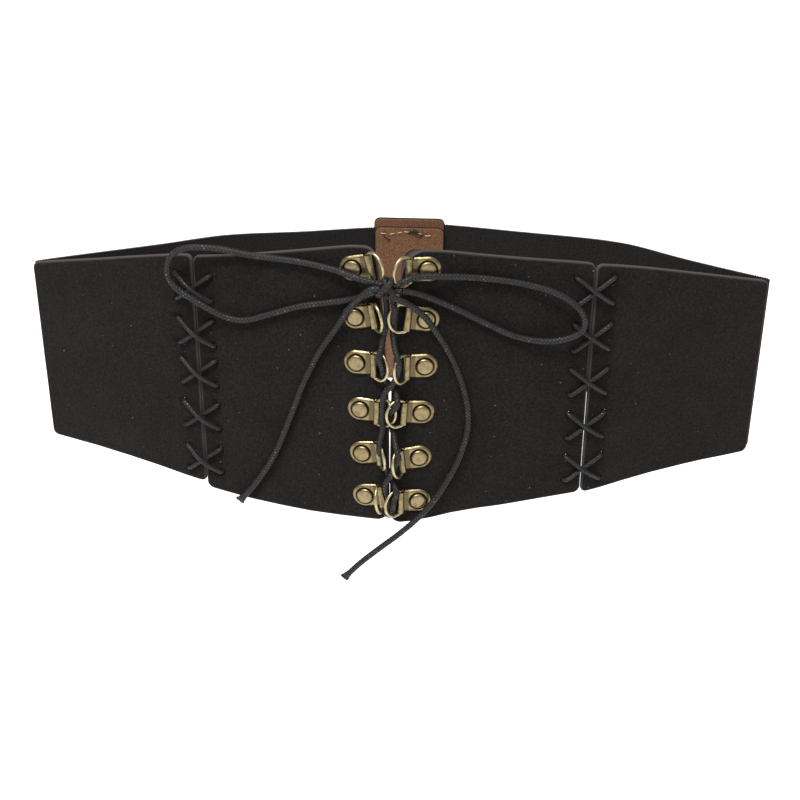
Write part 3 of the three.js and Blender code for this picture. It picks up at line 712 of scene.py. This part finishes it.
def hook_frame(side, along, height, tilt):
    """Where a hook is riveted: x along its plate to the ring, y along the ring's bar, z out."""
    along *= side_sign[side]
    turn = front_plan(along)[2]
    right = Vector((math.cos(turn), math.sin(turn), 0))
    up = Vector((0, 0, 1))
    axes = Matrix((right, up, right.cross(up))).transposed().to_4x4()
    turned = math.radians(tilt if side == "left" else 180 - tilt)
    place = Matrix.Translation(front_point(along, height, 0))
    return place @ axes @ Matrix.Rotation(turned, 4, "Z")


def ring_frame(side, along, height, tilt, swing):
    """Where a ring hangs: x from its bar across the ring, y along the bar, z out of the ring."""
    axle = Matrix.Translation((plate_reach, 0, plate_lift + barrel_radius))
    swung = Matrix.Rotation(-math.radians(swing), 4, "Y")
    return hook_frame(side, along, height, tilt) @ axle @ swung


def add_pin(place, radius, depth, lying=False):
    """A round pin at a place on a plate, standing on it or lying along the ring's bar."""
    return add_primitive(
        "cylinder", vertices=turned_sides, radius=radius, depth=depth, location=place,
        rotation=(math.pi / 2 if lying else 0, 0, 0))


def stamp_plate():
    plate = add_primitive("plane", size=2)
    for vertex in plate.data.vertices:
        half = plate_neck if vertex.co.x > 0 else plate_radius
        x = plate_reach if vertex.co.x > 0 else -plate_radius
        vertex.co = (x, math.copysign(half, vertex.co.y), plate_lift)
    start_edit(plate, "VERT", "DESELECT")
    bpy.ops.object.mode_set(mode="OBJECT")
    for vertex in plate.data.vertices:
        vertex.select = vertex.co.x < 0
    bpy.ops.object.mode_set(mode="EDIT")
    bpy.ops.mesh.bevel(offset=plate_corner, segments=14, affect="VERTICES")
    bpy.ops.mesh.select_mode(type="FACE")
    bpy.ops.mesh.select_all(action="SELECT")
    straight = plate_thickness - sum(up for inward, up in rim_steps)
    bpy.ops.mesh.extrude_region_move(TRANSFORM_OT_translate={"value": (0, 0, straight)})
    for inward, up in rim_steps:
        bpy.ops.mesh.inset(thickness=inward)
        bpy.ops.transform.translate(value=(0, 0, up))
    bpy.ops.object.mode_set(mode="OBJECT")
    face_outwards(plate)
    axle = (plate_reach, 0, plate_lift + barrel_radius)
    combine(plate, add_pin(axle, barrel_radius, 2 * barrel_half, True), "UNION")
    face = plate_lift + plate_thickness
    cuts = [
        (axle, barrel_bore, 2 * cutter_length, True),
        ((notch_place, plate_neck, 0), notch_radius, cutter_length),
        ((notch_place, -plate_neck, 0), notch_radius, cutter_length),
        ((0, 0, face), recess_radius, 2 * recess_depth),
        ((0, 0, 0), plate_hole, cutter_length),
    ]
    for cut in cuts:
        combine(plate, add_pin(*cut), "DIFFERENCE")
    apply_modifier(plate, "BEVEL", width=plate_softened, segments=3, limit_method="ANGLE",
                   angle_limit=math.radians(35))
    return plate


def turn_rivet():
    """A rivet, extruded ring by ring from the back of its washer to the face of its cap."""
    cap = plate_lift + plate_thickness - recess_depth + cap_lift
    profile = [
        (0.0027, -panel_thickness - 0.0009),
        (0.0030, -panel_thickness - 0.0008),
        (0.0030, -panel_thickness - 0.0003),
        (0.0012, -panel_thickness - 0.0003),
        (0.0012, cap),
        (0.00345, cap),
        (0.00365, cap + 0.0002),
        (0.00362, cap + 0.0004),
        (0.00340, cap + 0.00075),
        (0.00310, cap + 0.00098),
        (0.0026, cap + 0.00110),
        (0.0018, cap + 0.00118),
        (0.0008, cap + 0.00120),
    ]
    (radius, height), *steps = profile
    rivet = add_primitive(
        "circle", vertices=turned_sides, radius=radius, fill_type="NGON", location=(0, 0, height))
    bpy.ops.object.transform_apply(location=True, rotation=False, scale=False)
    start_edit(rivet, "FACE")
    for next_radius, next_height in steps:
        bpy.ops.mesh.extrude_region_move(
            TRANSFORM_OT_translate={"value": (0, 0, next_height - height)})
        grown = next_radius / radius
        bpy.ops.transform.resize(value=(grown, grown, 1), center_override=(0, 0, 0))
        radius, height = next_radius, next_height
    bpy.ops.object.mode_set(mode="OBJECT")
    face_outwards(rivet)
    return rivet


def map_flat(piece):
    """A UV map of a model in metres, seen from in front, with the rivet at its origin."""
    layer = piece.data.uv_layers.active or piece.data.uv_layers.new(name="plate_map")
    for loop in piece.data.loops:
        layer.data[loop.index].uv = piece.data.vertices[loop.vertex_index].co.xy


# Antique brass: yellow-brown metal, blackened and then rubbed. Its flats are a mottled tan, and
# on the plates the black stays round the rivet and over the neck, with painted shade added in and
# just round the rivet's recess and in the crease along the rolled end.
def make_brass(name, pale, dark, plain):
    material = new_material(name)
    place = add_node(material, "TexCoord")["Object"]
    worn = add_node(material, "TexNoise", {"Vector": place, "Scale": 520, "Detail": 5})["Fac"]
    fine = add_node(material, "TexNoise", {"Vector": place, "Scale": 2400, "Detail": 2})["Fac"]
    tarnish_and_painted_shade = add_node(material, "MapRange", (worn, 0.45, 0.75, 0.0, 0.5))["Result"]
    if not plain:
        uv = add_node(material, "TexCoord")["UV"]
        away = add_node(material, "VectorMath", (uv,), operation="LENGTH")["Value"]
        along = add_node(material, "SeparateXYZ", (uv,))["X"]
        groove = add_node(material, "Math", (along, groove_place), operation="SUBTRACT")[0]
        groove = add_node(material, "Math", (groove,), operation="ABSOLUTE")[0]
        # Each mark fades from one strength to another as its measure goes through a span.
        marks = (
            # Black left in the recess round the rivet, with painted shade in and just round it.
            (away, recess_radius, recess_radius + 0.0004, 0.96, 0.0),
            (along, recess_radius - 0.0004, recess_radius + 0.0002, 0.0, 0.6),
            # Painted shade in the crease where the plate meets its rolled end.
            (groove, 0.00015, 0.0005, 0.85, 0.0),
        )
        on_neck = add_node(material, "Math", (along, groove_place), operation="LESS_THAN")[0]
        for value, *span in marks:
            mark = add_node(material, "MapRange", (value, *span))["Result"]
            if value == along:
                mark = add_node(material, "Math", (mark, on_neck), operation="MULTIPLY")[0]
            tarnish_and_painted_shade = add_node(material, "Math", (tarnish_and_painted_shade, mark), operation="MAXIMUM")[0]
    colour = add_node(
        material, "Mix", {0: tarnish_and_painted_shade, 6: linear(pale), 7: linear(dark)}, data_type="RGBA")[2]
    rough = add_node(material, "MapRange", (worn, 0.3, 0.7, 0.26, 0.45))["Result"]
    bump = add_node(
        material, "Bump", {"Strength": 0.35, "Distance": 0.00008, "Height": fine})["Normal"]
    shader = add_node(material, "BsdfPrincipled", {
        "Base Color": colour, "Metallic": 1.0, "Roughness": rough, "Normal": bump,
    })["BSDF"]
    add_node(material, "OutputMaterial", {"Surface": shader})
    return material


groove_place = plate_reach - barrel_radius
plate_brass = make_brass("antique_brass_plate", "8d7f5d", "2a2114", False)
cap_brass = make_brass("antique_brass_cap", "908160", "3a2e1c", True)
wire_brass = make_brass("antique_brass_wire", "b8a983", "4a3c26", True)

plate_model = stamp_plate()
map_flat(plate_model)
rivet_model = turn_rivet()
map_flat(rivet_model)

# A D of wire: its straight bar runs in the rolled end, and its bow stands out from it.
ring_half = 0.0065
ring_shoulder = 0.0027
ring_bulge = 0.0056
ring_wire = 0.00065
ring_sides = 14
ring_step = 0.0005
ring_route = [(0, -0.005), (0, 0), (0, 0.005), (0.0009, 0.0060)]
for angle in range(78, -79, -12):
    turned = math.radians(angle)
    ring_route.append(
        (ring_shoulder + ring_bulge * math.cos(turned), ring_half * math.sin(turned)))
ring_route += [(0.0009, -0.0060), ring_route[0]]
ring_line = smooth_line([Vector((*place, 0)) for place in ring_route], ring_step)[:-1]
ring_model = make_tube("wire_ring", ring_line, ring_wire, ring_sides, closed=True)


def place_copy(model, name, matrix):
    mesh = model.data.copy()
    mesh.transform(matrix)
    mesh.shade_smooth()
    copy = show_mesh(name, mesh)
    smooth_by_angle(copy, 38)
    return copy


for side, row, along, height, tilt, swing in hooks:
    riveted = hook_frame(side, along, height, tilt)
    hung = ring_frame(side, along, height, tilt, swing)
    ends_in = f"{side}_{row}"
    for model, name, node, matrix, brass in (
        (plate_model, "stamped_plate_", "hook_plate_", riveted, plate_brass),
        (rivet_model, "cap_rivet_", "rivet_", riveted, cap_brass),
        (ring_model, "wire_ring_", "ring_", hung, wire_brass),
    ):
        copy = place_copy(model, name + ends_in, matrix)
        dress(copy, brass, "antique_brass", node + ends_in)
for model in (plate_model, rivet_model, ring_model):
    bpy.data.objects.remove(model)


# The lace in the centre gap: the bow's own cord, pulled a little thinner. From the knot it goes
# down through the rings to the bottom and up again to the knot.
pulled_radius = 0.0013
pulled_relief = 0.00025
centre_route = [
    (0.0010, 0.0468, 0.0050), (0.0016, 0.0438, 0.0051), (0.0021, 0.0403, 0.0059),
    (0.0018, 0.0352, 0.0030), (0.0012, 0.0303, 0.0005), (0.0015, 0.0266, 0.0014),
    (0.0024, 0.0222, 0.0062), (0.0037, 0.0176, 0.0098), (0.0034, 0.0121, 0.0065),
    (0.0020, 0.0065, 0.0043), (0.0005, 0.0039, 0.0042), (-0.0013, 0.0014, 0.0039),
    (-0.0023, -0.0014, 0.0041), (-0.0026, -0.0050, 0.0039), (-0.0027, -0.0098, 0.0030),
    (-0.0028, -0.0134, 0.0034), (-0.0026, -0.0166, 0.0042), (-0.0029, -0.0196, 0.0057),
    (-0.0033, -0.0224, 0.0086), (-0.0034, -0.0265, 0.0074), (-0.0024, -0.0298, 0.0052),
    (-0.0010, -0.0363, 0.0030), (-0.0004, -0.0404, 0.0017), (0.0015, -0.0438, 0.0027),
    (0.0029, -0.0464, 0.0051), (0.0031, -0.0485, 0.0057), (0.0023, -0.0518, 0.0043),
    (0.0019, -0.0550, 0.0036), (0.0017, -0.0578, 0.0029), (0.0015, -0.0594, 0.0023),
    (0.0011, -0.0608, 0.0017), (0.0002, -0.0616, 0.0015), (-0.0009, -0.0614, 0.0015),
    (-0.0013, -0.0604, 0.0013), (-0.0007, -0.0592, 0.0011), (-0.0001, -0.0576, 0.0010),
    (-0.0001, -0.0552, 0.0013), (-0.0007, -0.0510, 0.0031), (-0.0013, -0.0474, 0.0038),
    (-0.0013, -0.0444, 0.0043), (-0.0005, -0.0416, 0.0051), (0.0008, -0.0392, 0.0053),
    (0.0024, -0.0336, 0.0065), (0.0038, -0.0290, 0.0082), (0.0032, -0.0260, 0.0074),
    (0.0024, -0.0228, 0.0046), (0.0017, -0.0196, 0.0020), (0.0009, -0.0172, 0.0004),
    (0.0006, -0.0152, 0.0001), (0.0005, -0.0130, 0.0002), (0.0009, -0.0106, 0.0012),
    (0.0005, -0.0089, 0.0031), (0.0018, -0.0068, 0.0050), (0.0032, -0.0038, 0.0059),
    (0.0031, -0.0011, 0.0045), (0.0026, 0.0008, 0.0026), (0.0014, 0.0026, 0.0016),
    (-0.0002, 0.0043, 0.0014), (-0.0016, 0.0058, 0.0018), (-0.0022, 0.0076, 0.0024),
    (-0.0026, 0.0125, 0.0042), (-0.0035, 0.0183, 0.0066), (-0.0028, 0.0228, 0.0049),
    (-0.0022, 0.0273, 0.0026), (-0.0016, 0.0315, 0.0009), (-0.0013, 0.0355, 0.0006),
    (-0.0012, 0.0405, 0.0009), (-0.0015, 0.0440, 0.0025), (-0.0010, 0.0468, 0.0044),
]
centre_line = front_line(centre_route)
centre_lace = make_tube("centre_gap_lace", centre_line, pulled_radius, cord_sides, pulled_relief)
dress(centre_lace, waxed_cord, "waxed_cord", "centre_lace")


# The elastic back: black woven web in two halves, 82 mm wide, with upright ribs that end in fine
# teeth along both edges. Each half is sewn behind an outer panel, folds round its side and runs
# to the closing tab. Rows give (x, distance behind the centre of the front) of its middle.
elastic_thickness = 0.0015
elastic_half = 0.041
rib_pitch = 0.0012
steps_a_rib = 4
rib_relief = 0.00016
tooth = 0.0003
toothed_from = 0.985
elastic_heights = [1, 0.995, 0.985, 0.96, 0.9, 0.75, 0.5, 0.25]
elastic_rise = {"left": -0.0016, "right": 0.0009}
sewn_span = (0.150, 0.1675)
sewn_gap = 0.0003
edge_share = 0.7
tab_x = 0.0021
tab_half_width = 0.0175
tucked = 0.0035
tucked_over = 0.0008
elastic_routes = {
    "left": [
        (-0.1659, 0.0412), (-0.1668, 0.0430), (-0.1650, 0.0454), (-0.1500, 0.0546),
        (-0.1160, 0.0744), (-0.0980, 0.0862), (-0.0890, 0.0914), (-0.0760, 0.0958),
        (-0.0520, 0.1013), (-0.0170, 0.1119), (-0.0064, 0.11195),
    ],
    "right": [
        (0.1659, 0.0412), (0.1668, 0.0430), (0.1650, 0.0454), (0.1520, 0.0546),
        (0.1310, 0.0702), (0.1120, 0.0864), (0.1030, 0.0918), (0.0900, 0.0964),
        (0.0570, 0.1038), (0.0212, 0.1119), (0.0106, 0.11195),
    ],
}

elastic_web = new_material("ribbed_elastic_web")
uv = add_node(elastic_web, "TexCoord")["UV"]
# The crossing threads show as fine grains between the ribs.
grains = add_node(elastic_web, "Mapping", {"Vector": uv, "Scale": (1300, 1700, 1)})["Vector"]
grain = add_node(elastic_web, "TexNoise", {"Vector": grains, "Scale": 1, "Detail": 1})["Fac"]
weave = add_node(elastic_web, "MapRange", (grain, 0.3, 0.72, 0.0, 1.0))["Result"]
colour = add_node(
    elastic_web, "Mix", {0: weave, 6: linear("0e0c0c"), 7: linear("2d2828")}, data_type="RGBA")[2]
bump = add_node(
    elastic_web, "Bump", {"Strength": 0.7, "Distance": 0.0002, "Height": weave})["Normal"]
shader = add_node(elastic_web, "BsdfPrincipled", {
    "Base Color": colour, "Roughness": 0.9, "Specular IOR Level": 0.15, "Normal": bump,
})["BSDF"]
add_node(elastic_web, "OutputMaterial", {"Surface": shader})


def weave_elastic(side):
    sign = side_sign[side]
    middle = -panel_thickness - sewn_gap - elastic_thickness / 2
    route = [front_point(sign * along, 0, middle) for along in sewn_span]
    route += [Vector((x, front_centre_y + back, 0)) for x, back in elastic_routes[side]]
    line = smooth_line(route, rib_pitch / steps_a_rib)
    heights = [*elastic_heights, 0, *[-share for share in reversed(elastic_heights)]]
    points = []
    map_places = []
    for i, centre in enumerate(line):
        before, after = line[max(i - 1, 0)], line[min(i + 1, len(line) - 1)]
        ahead = (after - before).normalized()
        aside = Vector((ahead.y, -ahead.x, 0))
        rib = math.cos(2 * math.pi * i / steps_a_rib)
        rise = elastic_rise[side] * i / (len(line) - 1)
        in_tab = sign * (tab_x + sign * tab_half_width - centre.x) if centre.y > 0 else 0
        half = elastic_half - tucked * min(1, max(0, in_tab / tucked_over))
        for face in (1, -1):
            for share in heights[::face]:
                thin = elastic_thickness / 2 - rib_relief * (1 - rib) / 2
                thin *= edge_share if abs(share) == 1 else 1
                height = share * half + rise
                height += math.copysign(tooth, share) * rib if abs(share) >= toothed_from else 0
                points.append(centre + face * thin * aside + Vector((0, 0, height)))
                map_places.append((i * rib_pitch / steps_a_rib, height))
    mesh = bpy.data.meshes.new("elastic_" + side + "_web")
    mesh.from_pydata(points, [], loft_faces(len(line), 2 * len(heights)))
    layer = mesh.uv_layers.new(name="web_map")
    for face in mesh.polygons:
        for loop, vertex in zip(face.loop_indices, face.vertices):
            layer.data[loop].uv = map_places[vertex]
    mesh.shade_smooth()
    web = show_mesh("elastic_" + side + "_web", mesh)
    face_outwards(web)
    smooth_by_angle(web, 50)
    return web, line_length(line)


for side in ("left", "right"):
    web, length = weave_elastic(side)
    dress(web, elastic_web, "elastic_web", "elastic_" + side)


# The closing tab: two flaps of tan leather with the ends of the elastic between them. Their cut
# edges are painted black. A rough row of stitches in light thread runs along the top of the
# inner flap, with a few knots and loose ends of black thread over it.
tab_thickness = 0.002
tab_corner = 0.003
tab_edge = 0.0009
flat_face = 0.0001
tabs = {
    "tab_inner": {"x": tab_x, "half_width": tab_half_width, "back": 0.1089, "half_height": 0.0409},
    "tab_outer": {"x": 0.0018, "half_width": 0.0179, "back": 0.113, "half_height": 0.0443},
}

tan_leather = new_material("tan_grained_leather")
place = add_node(tan_leather, "TexCoord")["Object"]
grain = add_node(tan_leather, "TexVoronoi", {"Vector": place, "Scale": 1500})["Distance"]
mottle = add_node(tan_leather, "TexNoise", {"Vector": place, "Scale": 1300, "Detail": 2})["Fac"]
tone = add_node(tan_leather, "MapRange", (mottle, 0.3, 0.7, 0.0, 1.0))["Result"]
on_rim = add_node(tan_leather, "Attribute", attribute_name="rim")["Fac"]
colour = linear("4d3222")
for share, over in ((tone, "815839"), (on_rim, "100f0e")):
    mix = {0: share, 6: colour, 7: linear(over)}
    colour = add_node(tan_leather, "Mix", mix, data_type="RGBA")[2]
rough = add_node(tan_leather, "MapRange", (on_rim, 0.0, 1.0, 0.6, 0.9))["Result"]
height = add_node(tan_leather, "Math", (grain, mottle), operation="ADD")["Value"]
bump = add_node(
    tan_leather, "Bump", {"Strength": 0.5, "Distance": 0.0002, "Height": height})["Normal"]
shader = add_node(tan_leather, "BsdfPrincipled", {
    "Base Color": colour, "Roughness": rough, "Specular IOR Level": 0.4, "Normal": bump,
})["BSDF"]
add_node(tan_leather, "OutputMaterial", {"Surface": shader})

for name, facts in tabs.items():
    flap = add_primitive("plane", size=2, rotation=(math.pi / 2, 0, 0))
    bpy.ops.object.transform_apply(location=False, rotation=True, scale=False)
    for vertex in flap.data.vertices:
        x = facts["x"] + math.copysign(facts["half_width"], vertex.co.x)
        z = math.copysign(facts["half_height"], vertex.co.z)
        vertex.co = (x, front_centre_y + facts["back"], z)
    start_edit(flap)
    bpy.ops.mesh.bevel(offset=tab_corner, segments=6, affect="VERTICES")
    bpy.ops.mesh.select_all(action="SELECT")
    bpy.ops.mesh.extrude_region_move(
        TRANSFORM_OT_translate={"value": (0, tab_thickness, 0)})
    bpy.ops.object.mode_set(mode="OBJECT")
    face_outwards(flap)
    apply_modifier(flap, "BEVEL", width=tab_edge, segments=4, limit_method="ANGLE",
                   angle_limit=math.radians(60))
    rim = flap.data.attributes.new("rim", "FLOAT", "POINT")
    front_y = front_centre_y + facts["back"]
    for vertex in flap.data.vertices:
        inside = min(vertex.co.y - front_y, front_y + tab_thickness - vertex.co.y)
        rim.data[vertex.index].value = 1 if inside > flat_face else 0
    smooth_by_angle(flap, 40)
    flap.name = name + "_leather"
    dress(flap, tan_leather, "tab_leather", name)

# Places (x, z) on the inner flap: the light row goes in and out of the leather from one to the
# next, and each black thread lies on it through its own.
thread_radius = 0.00028
thread_sides = 8
thread_step = 0.0002
thread_height = 0.0005
stitch_row = [
    (-0.0122, 0.0376), (-0.0098, 0.0373), (-0.0077, 0.0372), (-0.0056, 0.0376),
    (-0.0037, 0.0379), (-0.0018, 0.0384), (-0.0004, 0.0387), (0.0014, 0.0384),
    (0.0034, 0.0393), (0.0052, 0.0389), (0.0066, 0.0381), (0.0084, 0.0373),
    (0.0102, 0.0367), (0.0128, 0.0369), (0.0152, 0.0372),
]
black_threads = [
    [(0.0016, 0.0376), (0.0030, 0.0388), (0.0046, 0.0398), (0.0058, 0.0386)],
    [(0.0036, 0.0400), (0.0050, 0.0384), (0.0070, 0.0375), (0.0092, 0.0372)],
    [(0.0024, 0.0394), (0.0042, 0.0386), (0.0060, 0.0392), (0.0068, 0.0380)],
    [(-0.0116, 0.0377), (-0.0104, 0.0362), (-0.0090, 0.0350), (-0.0076, 0.0340)],
]
flap_face = front_centre_y + tabs["tab_inner"]["back"]


def lay_thread(name, places, lifts):
    line = [Vector((x, flap_face - lift, z)) for (x, z), lift in zip(places, lifts)]
    return make_tube(name, smooth_line(line, thread_step), thread_radius, thread_sides)


light_thread = make_waxed_cord("light_thread", "a08468", "d8c4a4")
black_thread = make_waxed_cord("black_thread", "0b0a0a", "1c1918")
stitches = []
for i, (start, end) in enumerate(zip(stitch_row[::2], stitch_row[1::2])):
    middle = ((start[0] + end[0]) / 2, (start[1] + end[1]) / 2)
    stitches.append(lay_thread(f"stitch_{i}", [start, middle, end], (0.0, thread_height, 0.0)))
dress(join(stitches, "tab_light_stitches"), light_thread, "waxed_cord")
loose = []
for i, places in enumerate(black_threads):
    lifts = (0.0, 2 * thread_height, 2 * thread_height, 0.0)
    loose.append(lay_thread(f"black_{i}", places, lifts))
dress(join(loose, "tab_black_threads"), black_thread, "waxed_cord")


# The press studs between the flaps are hidden, so their plain strip stays as it is, in steel.
stud_steel = new_material("plated_steel")
place = add_node(stud_steel, "TexCoord")["Object"]
fine = add_node(stud_steel, "TexNoise", {"Vector": place, "Scale": 900, "Detail": 3})["Fac"]
rough = add_node(stud_steel, "MapRange", (fine, 0.3, 0.7, 0.3, 0.5))["Result"]
shader = add_node(stud_steel, "BsdfPrincipled", {
    "Base Color": linear("8f8b84"), "Metallic": 1.0, "Roughness": rough,
})["BSDF"]
add_node(stud_steel, "OutputMaterial", {"Surface": shader})
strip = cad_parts["press_stud_strip"]
strip.data.materials.clear()
strip.data.materials.append(stud_steel)


# The studio: a plain pale floor well below the belt, which is held up as if worn, under a large
# soft light a little in front of it and a pale sky. Colours are shown as they are, unfiltered.
floor_height = -0.5
floor = add_primitive("plane", size=100, location=(0, 0, floor_height))
floor.name = "studio_floor"
pale = new_material("pale_floor")
shader = add_node(pale, "BsdfPrincipled", {
    "Base Color": linear("ffffff"), "Roughness": 0.9, "Emission Color": linear("ffffff"),
    "Emission Strength": 0.35,
})["BSDF"]
add_node(pale, "OutputMaterial", {"Surface": shader})
floor.data.materials.append(pale)

bpy.ops.object.light_add(type="SUN", location=(0, 0, 1))
softbox = bpy.context.object
softbox.name = "large_soft_light"
softbox.data.energy = 2.8
softbox.data.angle = math.radians(40)
softbox.rotation_euler = (math.radians(25), 0, math.radians(-12))

# A smaller, harder light from the upper left draws the glints on the wax and the metal.
key_place = Vector((-0.3, -0.5, 0.9))
bpy.ops.object.light_add(type="AREA", location=key_place)
key_light = bpy.context.object
key_light.name = "small_key_light"
key_light.data.energy = 6
key_light.data.size = 0.15
key_light.rotation_euler = key_place.to_track_quat("Z", "Y").to_euler()

world = bpy.data.worlds.new("pale_studio")
world.use_nodes = True
world.node_tree.nodes["Background"].inputs["Color"].default_value = (1, 1, 1, 1)
world.node_tree.nodes["Background"].inputs["Strength"].default_value = 0.4
bpy.context.scene.world = world
bpy.context.scene.view_settings.view_transform = "Standard"
